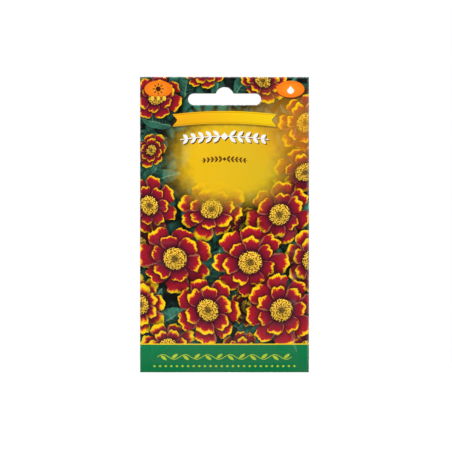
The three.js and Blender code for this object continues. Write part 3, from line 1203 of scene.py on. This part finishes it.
@dataclass
class Relief:
    """How one panel's paper is bent, in metres, at the points whose x and z are given.

    The waves take the points' places in millimetres, so their numbers are radians for each millimetre.
    """

    side: Side
    size: PacketSize
    seeds: Sequence[Seed]
    x: np.ndarray
    z: np.ndarray
    pucker: float = 0.4 * MM
    corner_fold: float = 0.5 * MM
    fold_reach: float = 9 * MM
    swelling: float = 0.3 * MM
    seed_mark: float = 0.16 * MM
    header_curl: float = 0.7 * MM
    margin_wave: float = 0.2 * MM

    # Where the waves of the swellings, the corner folds and the puckers start.
    phases = {Side.FRONT: (0.4, 0.6, 2.0), Side.BACK: (2.2, 1.7, 4.5)}

    def __post_init__(self) -> None:
        """Works out where each point lies in the pocket, from 0 to 1, and in millimetres."""
        self.half, self.low, self.high = self.size.pocket
        self.across = np.clip(np.abs(self.x) / self.half, 0, 1)
        self.up = np.clip((self.z - self.low) / (self.high - self.low), 0, 1)
        self.mm_x, self.mm_z = self.x / MM, self.z / MM
        self.swelling_phase, self.fold_phase, self.pucker_phase = self.phases[self.side]

    def stand_off(self) -> np.ndarray:
        """Adds up the bulge, the folds and the marks.

        Returns:
            How far the panel's inner face stands off the seal, at each point.
        """
        size, up = self.size, self.up
        below = np.clip((size.fullest_at - up) / size.fullest_at, 0, 1)
        above = np.clip((up - size.fullest_at) / (1 - size.fullest_at), 0, 1)
        profile = 1 - np.where(below > 0, below ** size.bottom_power, above ** size.top_power)
        bulge = size.bulge * (1 - self.across ** size.side_power) * profile
        folds = np.maximum(self.puckers(), self.corner_folds())
        return bulge + folds + self.swellings() + self.seed_marks()

    def sway(self) -> np.ndarray:
        """Curls the header and the sealed margins, alike for both panels.

        Returns:
            How far each point is moved back.
        """
        x, z, size = self.mm_x, self.mm_z, self.size
        header = np.clip((self.z - self.high) / size.header, 0, 1)
        side = np.clip((np.abs(self.x) - self.half) / size.side_seal, 0, 1)
        foot = np.clip((self.low - self.z) / size.bottom_seal, 0, 1)
        curl = self.header_curl * header ** 2 * (self.x / size.right - 0.45 * np.cos(x * 0.075 + 0.5))
        side_wave = np.sin(z * 0.15 + 1.0 + 1.9 * np.sign(x)) * side ** 1.5
        return curl + self.margin_wave * (side_wave + np.sin(x * 0.11 + 2.0) * foot ** 1.5)

    def swellings(self) -> np.ndarray:
        """Raises broad soft swellings, where the paper doesn't lie evenly over what it holds.

        Returns:
            How far each point is raised.
        """
        x, z, phase = self.mm_x, self.mm_z, self.swelling_phase
        first = np.sin(x * 0.13 - z * 0.085 + phase)
        second = np.sin(x * 0.075 + z * 0.12 + 2.1 * phase)
        waves = self.swelling * (0.5 + 0.25 * (first + second))
        return waves * (1 - self.across ** 4) * np.sin(self.up * math.pi)

    def corner_folds(self) -> np.ndarray:
        """Raises short ridges that fan out from the pocket's corners, where the paper is gathered most.

        Returns:
            How far each point is raised.
        """
        raised = np.zeros_like(self.x)
        for rise in (self.z - self.low, self.high - self.z):
            run = self.half - np.abs(self.x)
            reach = np.hypot(run, rise) / self.fold_reach
            fan = np.cos(np.arctan2(rise, run) * 9 + self.fold_phase + 0.8 * np.sign(self.x))
            inside = np.clip(np.minimum(run, rise) / (1.5 * MM), 0, 1)
            raised += np.clip(fan, 0, 1) ** 1.5 * reach * np.exp(1 - reach ** 1.6) * inside
        return self.corner_fold * raised

    def puckers(self) -> np.ndarray:
        """Raises small folds that run in from the side seals, where a flat sheet takes up the bulge.

        Returns:
            How far each point is raised.
        """
        z, phase = self.mm_z, self.pucker_phase
        wave = np.sin(z * 0.55 + 1.3 * np.sin(z * 0.11 + phase) + np.sign(self.x) * phase)
        near_side = np.clip((self.across - 0.55) / 0.3, 0, 1) * np.clip((1 - self.across) / 0.12, 0, 1)
        fullness = np.clip(np.sin(self.up * math.pi), 0, 1)
        return self.pucker * np.clip(wave, 0, 1) ** 1.5 * near_side * fullness

    def seed_marks(self) -> np.ndarray:
        """Raises the faint ridges where the paper lies over the seeds.

        Returns:
            How far each point is raised.
        """
        raised = np.zeros_like(self.x)
        for seed in self.seeds:
            raised = np.maximum(raised, seed.ridge(self.x, self.z, self.side))
        return self.seed_mark * raised


@dataclass
class Panel:
    """One laminated paper panel: a thin bulged sheet with the hang slot cut through it.

    The spacing of its rows and its margin are shares of the points' spacing.
    """

    name: str
    node: str
    slot: str
    side: Side
    size: PacketSize
    seeds: Sequence[Seed]
    spacing: float = 1.15 * MM
    row_spacing: float = 0.87
    margin: float = 0.6
    texture_rim: float = 0.01
    lining_scale: float = 0.6

    def border(self) -> list[tuple]:
        """Spaces points evenly round the panel's outline.

        Returns:
            The points in order, as (x, z).
        """
        size = self.size
        corners = [(size.left, size.bottom), (size.right, size.bottom), (size.right, size.top),
                   (size.left, size.top)]
        across = int(round((size.right - size.left) / self.spacing))
        tall = int(round((size.top - size.bottom) / self.spacing))
        places = []
        for (x0, z0), (x1, z1), steps in zip(corners, corners[1:] + corners[:1], (across, tall) * 2):
            places += [(x0 + (x1 - x0) * i / steps, z0 + (z1 - z0) * i / steps) for i in range(steps)]
        return places

    def flat_points(self) -> tuple[np.ndarray, np.ndarray]:
        """Covers the panel with an even net of triangles that follows its outline and its slot.

        Returns:
            The points, as rows of x and z, and the triangles.
        """
        size, step = self.size, self.spacing
        margin = step * self.margin
        columns = np.arange(size.left + margin, size.right - margin, step)
        rows = np.arange(size.bottom + margin, size.top - margin, step * self.row_spacing)
        border, outline = self.border(), size.slot_outline()
        ring = np.array(outline)
        net = np.array([(x + (step / 2 if j % 2 else 0.0), z) for j, z in enumerate(rows) for x in columns])
        net = net[net[:, 0] < size.right - margin / 2]
        apart = np.min(np.hypot(*(net[:, None, axis] - ring[None, :, axis] for axis in (0, 1))), axis=1)
        net = net[apart > step * 0.5]
        points = [Vector(place) / MM for place in [*border, *outline, *map(tuple, net)]]
        edges = closed_loop(len(border)) + closed_loop(len(outline), len(border))
        # 1 keeps what the border holds, and points nearer than the last number are joined.
        found = delaunay_2d_cdt(points, edges, [], 1, 1e-5)
        places = np.array([tuple(place) for place in found[0]]) * MM
        triangles = np.array([tuple(face) for face in found[2]])
        kept = triangles[~inside_outline(places[triangles].mean(axis=1), ring)]
        used, renumbered = np.unique(kept, return_inverse=True)
        return places[used], renumbered.reshape(-1, 3)

    def facing_out(self, places: np.ndarray, triangles: np.ndarray) -> np.ndarray:
        """Turns every triangle the way the print faces.

        Args:
            places: the points, as rows of x and z.
            triangles: the triangles.

        Returns:
            The triangles, each turned over where it has to be.
        """
        corner = places[triangles]
        turned = np.cross(corner[:, 1] - corner[:, 0], corner[:, 2] - corner[:, 0]) > 0
        # Counter-clockwise in (x, z) faces -Y, which is out of the front panel.
        upright = np.where(turned[:, None], triangles, triangles[:, ::-1])
        return upright if self.side is Side.FRONT else upright[:, ::-1]

    def build(self) -> bpy.types.Object:
        """Builds the sheet: its print face, its lining and the cut edge between them.

        Returns:
            The panel.
        """
        places, triangles = self.flat_points()
        x, z = places.T
        relief = Relief(self.side, self.size, self.seeds, x, z)
        inner_y, sway, sign = relief.stand_off(), relief.sway(), float(self.side.value)
        outer = np.column_stack([x, sign * (inner_y + self.size.thickness) + sway, z])
        inner = np.column_stack([x, sign * inner_y + sway, z])

        out, count = self.facing_out(places, triangles), len(places)
        sides = np.concatenate([out[:, [0, 1]], out[:, [1, 2]], out[:, [2, 0]]])
        have = {tuple(side) for side in sides.tolist()}
        rim = [(b, a, a + count, b + count) for a, b in have if (b, a) not in have]

        mesh = bpy.data.meshes.new(self.name)
        faces = [*map(tuple, out.tolist()), *(tuple(face[::-1]) for face in (out + count).tolist()), *rim]
        mesh.from_pydata(np.concatenate([outer, inner]).tolist(), [], faces)
        parts = np.repeat(
            [PanelPart.PRINT.value, PanelPart.LINING.value, PanelPart.EDGE.value],
            [len(out), len(out), len(rim)],
        )
        mesh.polygons.foreach_set("material_index", parts.astype(np.int32))
        mesh.polygons.foreach_set("use_smooth", parts != PanelPart.EDGE.value)
        mesh.update()
        panel = add_object(self.name, mesh)
        self.lay_out_for_textures(mesh, parts)
        self.mark_page(mesh)
        return panel

    def lay_out_for_textures(self, mesh: bpy.types.Mesh, parts: np.ndarray) -> None:
        """Gives the print most of the panel's texture space, the lining the rest and the edge a strip.

        Args:
            mesh: the panel's mesh.
            parts: the part that each face belongs to.
        """
        size, rim, scale = self.size, self.texture_rim, self.lining_scale
        tall = size.top - size.bottom
        x, y, z = points_of(mesh)[[loop.vertex_index for loop in mesh.loops]].T
        part = np.repeat(parts, [face.loop_total for face in mesh.polygons])
        right, up, deep = (x - size.left) / tall, (z - size.bottom) / tall, np.abs(y) / MM * 0.03
        across = right if self.side is Side.FRONT else (size.right - x) / tall
        u, v = across * (1 - 2 * rim) + rim, up * (1 - 2 * rim) + rim
        # The print fills the left of the square. The lining starts at 0.60 across, with the edge above it.
        where = [part == PanelPart.LINING.value, part == PanelPart.EDGE.value]
        u = np.select(where, [0.60 + u * scale, 0.62 + deep + right * 0.5], u)
        v = np.select(where, [v * scale, 0.66 + deep + up * 0.3], v)
        layer = mesh.uv_layers.new(name="OFBake")
        layer.data.foreach_set("uv", np.column_stack([u, v]).astype(np.float32).ravel())

    def mark_page(self, mesh: bpy.types.Mesh) -> None:
        """Gives each point its place on the printed page, as a reader of that side sees it.

        Args:
            mesh: the panel's mesh.
        """
        x, _, z = (points_of(mesh) / MM).T
        mark_points(mesh, "page_x", -self.side.value * x)
        mark_points(mesh, "page_up", z - self.size.bottom / MM)


# ---- The seeds ----


@dataclass
class Seed:
    """One loose seed, read from its node in the frame. Its cuts are shares of its own sizes."""

    node: str
    tuft_from: float = 0.66
    tuft_scales: int = 5
    tuft_depth: float = 0.5
    ribs: int = 8
    rib_depth: float = 0.14
    notch: float = 0.09
    notch_from: float = 0.85
    mark_reach: float = 1.1 * MM
    same_point: float = 0.001 * MM
    root: np.ndarray = field(init=False)
    tip: np.ndarray = field(init=False)

    def __post_init__(self) -> None:
        """Finds the seed's two ends: the tip is the tuft's, where the points spread more."""
        places = points_of(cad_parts[self.node].data)
        middle = places.mean(axis=0)
        axis = np.linalg.svd(places - middle, full_matrices=False)[2][0]
        along = (places - middle) @ axis
        ends = [places[along < np.quantile(along, 0.12)], places[along > np.quantile(along, 0.88)]]
        spread = [float(np.std(end, axis=0).sum()) for end in ends]
        low, high = middle + axis * along.min(), middle + axis * along.max()
        self.root, self.tip = (low, high) if spread[0] < spread[1] else (high, low)

    def ridge(self, x: np.ndarray, z: np.ndarray, side: Side) -> np.ndarray:
        """Works out how much the paper is raised by the seed.

        Args:
            x, z: the paper's points.
            side: the panel they are on.

        Returns:
            One value from 0 to 1 for each point.
        """
        level = float(self.root[1] + self.tip[1]) / 2 * side.value
        weight = np.clip(0.35 + level / (1.2 * MM), 0, 1)
        start, run = self.root[[0, 2]], (self.tip - self.root)[[0, 2]]
        share = ((x - start[0]) * run[0] + (z - start[1]) * run[1]) / float(run @ run)
        share = np.clip(share, 0.1, 0.9)
        away = np.hypot(x - start[0] - share * run[0], z - start[1] - share * run[1])
        return weight * np.exp(-(away / self.mark_reach) ** 2)

    def build(self) -> bpy.types.Object:
        """Makes the finer seed: the node's own form with its points joined, rounded and carved.

        Returns:
            The seed.
        """
        name = f"{self.node}_fine"
        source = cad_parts[self.node].data
        numbers: dict[tuple, int] = {}
        places: list[tuple] = []
        renumbered = []
        for vertex in source.vertices:
            key = tuple(round(part / self.same_point) for part in vertex.co)
            if key not in numbers:
                numbers[key] = len(places)
                places.append(tuple(vertex.co))
            renumbered.append(numbers[key])
        faces = [tuple(renumbered[i] for i in face.vertices) for face in source.polygons]
        mesh = bpy.data.meshes.new(name)
        mesh.from_pydata(places, [], faces)
        seed = add_object(name, mesh)
        rounding = seed.modifiers.new("rounding", "SUBSURF")
        rounding.levels = rounding.render_levels = 2
        rounded = bpy.data.meshes.new_from_object(seed.evaluated_get(bpy.context.evaluated_depsgraph_get()))
        seed.modifiers.clear()
        seed.data = rounded
        rounded.polygons.foreach_set("use_smooth", [True] * len(rounded.polygons))
        self.carve(rounded)
        return seed

    def carve(self, mesh: bpy.types.Mesh) -> None:
        """Presses ribs along the shaft and parts the tuft into scales, all inside the seed's own form.

        Args:
            mesh: the rounded seed. It also gets the value that runs from its root to its tuft.
        """
        places = points_of(mesh)
        axis = self.tip - self.root
        length = float(np.linalg.norm(axis))
        direction = axis / length
        along = (places - self.root) @ direction / length
        radial = places - self.root - np.outer(along * length, direction)
        first = np.cross(direction, (0.0, 1.0, 0.0))
        first /= np.linalg.norm(first)
        turn = np.arctan2(radial @ np.cross(direction, first), radial @ first)
        opened = np.clip((along - self.tuft_from) / (1 - self.tuft_from), 0, 1)
        valley = 0.5 - 0.5 * np.cos(self.tuft_scales * turn)
        groove = 0.5 - 0.5 * np.cos(self.ribs * turn)
        narrower = 1 - self.tuft_depth * valley * opened - self.rib_depth * groove * (1 - opened)
        shorter = self.notch * valley * np.clip((along - self.notch_from) / (1 - self.notch_from), 0, 1)
        carved = self.root + np.outer((along - shorter) * length, direction) + radial * narrower[:, None]
        mesh.vertices.foreach_set("co", carved.ravel())
        mark_points(mesh, "along", np.clip(along, 0, 1))
        mesh.update()


# ---- Finishes ----


class Surface:
    """A material being made, with its one main shader."""

    def __init__(self, name: str) -> None:
        """Starts the material.

        Args:
            name: the material's name.
        """
        self.material = bpy.data.materials.new(name)
        self.material.use_nodes = True
        self.material.node_tree.nodes.clear()
        self.tree = ShaderTree(self.material.node_tree)
        self.shader = self.tree.node("ShaderNodeBsdfPrincipled")
        shown = Socket(self.tree, self.shader.outputs[0])
        self.tree.node("ShaderNodeOutputMaterial", None, {"Surface": shown})

    def feed(self, name: str, value: Any) -> None:
        """Links a value to one of the shader's inputs, or sets the input to it."""
        self.tree.feed(self.shader.inputs[name], value)

    def bump(self, strength: float, depth: float, height: Socket) -> None:
        """Feeds the shader's normal.

        Args:
            strength: how much of the bump shows.
            depth: how deep a height of 1 is.
            height: the height over the surface.
        """
        self.feed("Normal", self.tree.read("ShaderNodeBump", 0, None, {
            "Strength": strength, "Distance": depth, "Height": height}))

    def place(self) -> Socket:
        """Returns the places on the object, in metres."""
        return self.tree.read("ShaderNodeTexCoord", "Object")


@dataclass(frozen=True)
class PrintedLaminate:
    """Printed paper under a thin satin film."""

    core: Colour = srgb(0.93, 0.92, 0.88)
    roughness: float = 0.4
    fibre_roughness: float = 0.12
    coat: float = 0.8
    coat_roughness: float = 0.16
    specular: float = 0.05
    relief: float = 0.03 * MM
    rib_pitch: float = 1.1
    worn: float = 0.75

    def dress(self, name: str, artwork: type[Artwork], motifs: Motifs,
              size: PacketSize) -> bpy.types.Material:
        """Makes the material.

        Args:
            name: the material's name.
            artwork: the kind of print.
            motifs: what the print is made of.
            size: the packet's sizes.

        Returns:
            The material.
        """
        surface = Surface(name)
        page = Page(surface.tree)
        worn = self.worn_edges(page, size)
        artwork(page, motifs).paint()
        page.cover(worn, self.core)
        surface.feed("Base Color", page.picture)
        surface.feed("Specular IOR Level", self.specular)
        surface.feed("Coat Weight", self.coat)
        surface.feed("Coat Roughness", self.coat_roughness)
        fibre = surface.tree.noise(page.flat, 6.0, 3.0, 0.6)
        surface.feed("Roughness", self.roughness + (fibre - 0.5) * self.fibre_roughness)
        ribs = self.seal_ribs(page, size)
        surface.bump(0.6, self.relief, fibre * 0.12 + surface.tree.noise(page.flat, 0.35) * 1.4 + ribs * 0.7)
        return surface.material

    def worn_edges(self, page: Page, size: PacketSize) -> Socket:
        """Works out how much of the white core shows, where the print is rubbed off along its cut edges.

        Args:
            page: the printed page.
            size: the packet's sizes.

        Returns:
            The core's share, 0 to 1.
        """
        tall = (size.top - size.bottom) / MM
        inward = (size.right / MM - abs(page.x)).least(tall / 2 - abs(page.up - tall / 2))
        end_x, end_z, end = (part / MM for part in size.slot_end)
        past = (abs(page.x) - end_x).most(0.0)
        rise = page.up - (end_z - size.bottom / MM)
        bar = past.hypot(rise) - end
        above = page.up - (-size.hump_radius - size.bottom) / MM
        hump = page.x.hypot(above) - size.hump_radius / MM
        nearest = inward.least(bar).least(hump)
        rubbed = page.rub.rise(0.42, 0.8)
        return (nearest - rubbed * 0.4).ramp(0.02, -0.08) * self.worn

    def seal_ribs(self, page: Page, size: PacketSize) -> Socket:
        """Presses in the fine ribs that the sealing bars leave in the margins.

        Args:
            page: the printed page.
            size: the packet's sizes.

        Returns:
            The ribs' height, 0.5 at their tops.
        """
        half, low, _ = size.pocket
        at_side = abs(page.x).rise(half / MM - 0.2, half / MM + 0.2)
        at_foot = page.up.rise((low - size.bottom) / MM + 0.2, (low - size.bottom) / MM - 0.2)
        ribs = (page.up * (TAU / self.rib_pitch)).sin() * 0.5
        return ribs * at_side.most(at_foot)


@dataclass(frozen=True)
class CutPaper:
    """The white core that shows where the sheet is cut."""

    colour: Colour = srgb(0.95, 0.94, 0.91)
    fibre_scale: float = 9000.0
    roughness: float = 0.85

    def dress(self, name: str) -> bpy.types.Material:
        """Makes the material.

        Args:
            name: the material's name.

        Returns:
            The material.
        """
        surface = Surface(name)
        fibre = surface.tree.noise(surface.place(), self.fibre_scale)
        surface.feed("Base Color", surface.tree.shaded(self.colour, 0.9 + fibre * 0.15))
        surface.feed("Roughness", self.roughness)
        return surface.material


@dataclass(frozen=True)
class SealableLining:
    """The pale heat-sealing film on the packet's inside."""

    colour: Colour = srgb(0.86, 0.87, 0.88)
    cloud_scale: float = 300.0

    def dress(self, name: str) -> bpy.types.Material:
        """Makes the material.

        Args:
            name: the material's name.

        Returns:
            The material.
        """
        surface = Surface(name)
        cloud = surface.tree.noise(surface.place(), self.cloud_scale, 3.0)
        surface.feed("Base Color", surface.tree.shaded(self.colour, 0.88 + cloud * 0.2))
        surface.feed("Roughness", 0.3 + cloud * 0.15)
        return surface.material


@dataclass(frozen=True)
class SeedCoat:
    """A dark ribbed achene with a straw-coloured tuft."""

    shaft: Colour = srgb(0.13, 0.10, 0.08)
    shaft_light: Colour = srgb(0.30, 0.24, 0.18)
    tuft: Colour = srgb(0.86, 0.76, 0.55)
    root: Colour = srgb(0.72, 0.62, 0.45)
    streak_scale: float = 4000.0
    relief: float = 0.03 * MM

    def dress(self, name: str) -> bpy.types.Material:
        """Makes the material.

        Args:
            name: the material's name.

        Returns:
            The material.
        """
        surface = Surface(name)
        tree = surface.tree
        along = tree.read("ShaderNodeAttribute", "Fac", {"attribute_name": "along"})
        streak = tree.noise(surface.place(), self.streak_scale, 3.0, 0.6)
        shaft = tree.mix(streak.rise(0.4, 0.7), self.shaft, self.shaft_light)
        colour = tree.mix(along.rise(0.06, 0.02), shaft, self.root)
        colour = tree.mix((along + (streak - 0.5) * 0.1).rise(0.62, 0.70), colour, self.tuft)
        surface.feed("Base Color", colour)
        surface.feed("Roughness", 0.55 + streak * 0.3)
        surface.bump(0.5, self.relief, streak)
        return surface.material


# ---- The packet and its stage ----


class SeedPacket:
    """The whole packet: two panels and the seeds between them."""

    def __init__(self) -> None:
        """Reads the packet's outline and its seeds from the frame."""
        self.size = PacketSize.from_frame("front_sheet")
        self.seeds = [Seed(name) for name in sorted(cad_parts) if name.startswith("seed_")]

    def build(self) -> list[bpy.types.Object]:
        """Builds, dresses and places every piece.

        Returns:
            The two panels, and then the seeds.
        """
        motifs = Motifs()
        edge = CutPaper().dress("cut_paper_edge")
        lining = SealableLining().dress("sealable_lining")
        laminate = PrintedLaminate()
        prints = (
            laminate.dress("printed_front", FrontPrint, motifs, self.size),
            laminate.dress("printed_back", BackPrint, motifs, self.size),
        )
        panels = (
            Panel("front_panel", "front_sheet", "front_print", Side.FRONT, self.size, self.seeds),
            Panel("back_panel", "back_sheet", "back_print", Side.BACK, self.size, self.seeds),
        )
        pieces = []
        for panel, face in zip(panels, prints):
            piece = panel.build()
            for material in (face, edge, lining):
                piece.data.materials.append(material)
            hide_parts(panel.node)
            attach(piece, "root")
            pieces.append(piece)

        coat = SeedCoat().dress("seed_coat")
        for seed in self.seeds:
            piece = seed.build()
            piece.data.materials.append(coat)
            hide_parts(seed.node)
            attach(piece, "root")
            pieces.append(piece)
        return pieces


@dataclass(frozen=True)
class SoftBox:
    """One soft square light that faces the packet's middle; with a radiance of 1 its face is white."""

    name: str
    place: tuple[float, float, float]
    width: float
    radiance: float

    def hang(self, target: Vector) -> None:
        """Adds the light, hidden from the camera.

        Args:
            target: the point it is turned towards.
        """
        data = bpy.data.lights.new(self.name, "AREA")
        data.size = self.width
        data.energy = self.radiance * self.width ** 2 * math.pi
        lamp = add_object(self.name, data)
        lamp.location = self.place
        lamp.visible_camera = False
        lamp.rotation_euler = (target - lamp.location).to_track_quat("-Z", "Y").to_euler()


@dataclass
class Studio:
    """A pale floor below the packet, soft lights, and the camera at the photograph's angle."""

    size: PacketSize
    mm_per_pixel: float = 0.545
    picture: int = 452
    packet_centre_px: tuple[float, float] = (224.5, 224.65)
    lens: float = 135.0
    sensor: float = 36.0
    table_below: float = 0.09
    table_radius: float = 1.2
    table_corners: int = 96
    table_grey: float = 0.3
    table_lift: float = 0.72
    room: float = 0.10
    soft_boxes: tuple[SoftBox, ...] = (
        SoftBox("top_box", (0.0, 0.0, 1.5), 2.6, 2.4),
        SoftBox("front_key", (-1.1, -1.0, 0.6), 1.0, 5.2),
        SoftBox("front_fill", (1.1, -1.1, 0.15), 1.1, 2.1),
        SoftBox("rear_key", (1.1, 1.0, 0.6), 1.0, 5.2),
        SoftBox("rear_fill", (-1.1, 1.1, 0.15), 1.1, 2.1),
    )

    def camera(self) -> None:
        """Sets a level camera square to the front, as far off as the photograph's framing needs."""
        data = bpy.data.cameras.new("camera")
        data.lens = self.lens
        data.sensor_width = self.sensor
        camera = add_object("camera", data)
        pixel = self.mm_per_pixel * MM
        middle = self.picture / 2
        aim_x = (middle - self.packet_centre_px[0]) * pixel
        aim_z = (self.size.top + self.size.bottom) / 2 - (middle - self.packet_centre_px[1]) * pixel
        camera.location = (aim_x, -self.picture * pixel * self.lens / self.sensor, aim_z)
        camera.rotation_euler = (math.pi / 2, 0.0, 0.0)
        bpy.context.scene.camera = camera

    def floor(self) -> None:
        """Lays a round white table top some way below the hanging packet."""
        mesh = bpy.data.meshes.new("table_top")
        level = self.size.bottom - self.table_below
        rim = arc((0.0, 0.0), self.table_radius, 0, TAU, self.table_corners)[:-1]
        mesh.from_pydata([(x, y, level) for x, y in rim], [], [tuple(range(len(rim)))])
        table = add_object("table_top", mesh)
        surface = Surface("table_white")
        tree = surface.tree
        cloud = tree.noise(surface.place(), 6.0)
        surface.feed("Base Color", tree.shaded((self.table_grey,) * 3, 0.97 + cloud * 0.04))
        surface.feed("Roughness", 0.9)
        surface.feed("Specular IOR Level", 0.1)
        # The table looks white, and yet it throws little light up at the packet.
        seen = tree.read("ShaderNodeLightPath", "Is Camera Ray")
        surface.feed("Emission Color", tree.mix(seen, BLACK, FULL_WHITE))
        surface.feed("Emission Strength", self.table_lift)
        mesh.materials.append(surface.material)

    def lights(self) -> None:
        """Hangs a soft box above, and a key and a fill box at each face, in a dim room seen as white."""
        target = Vector((0.0, 0.0, (self.size.top + self.size.bottom) / 2))
        for soft_box in self.soft_boxes:
            soft_box.hang(target)
        world = bpy.data.worlds.new("room")
        world.use_nodes = True
        world.node_tree.nodes.clear()
        tree = ShaderTree(world.node_tree)
        seen = tree.read("ShaderNodeLightPath", "Is Camera Ray")
        light = tree.read("ShaderNodeBackground", 0, None, {
            "Color": FULL_WHITE, "Strength": seen * (1.0 - self.room) + self.room})
        tree.node("ShaderNodeOutputWorld", None, {"Surface": light})
        bpy.context.scene.world = world
        bpy.context.scene.view_settings.view_transform = "Standard"

    def set_up(self) -> None:
        """Sets the camera, the floor and the lights."""
        self.camera()
        self.floor()
        self.lights()


def main() -> None:
    """Builds the stage and the packet, reports each piece, and writes how big the model is."""
    logging.basicConfig(level=logging.INFO, format="%(name)s: %(message)s")
    packet = SeedPacket()
    Studio(packet.size).set_up()
    for piece in packet.build():
        LOG.info("%s: %d faces", piece.name, len(piece.data.polygons))


if __name__ == "__main__":
    main()
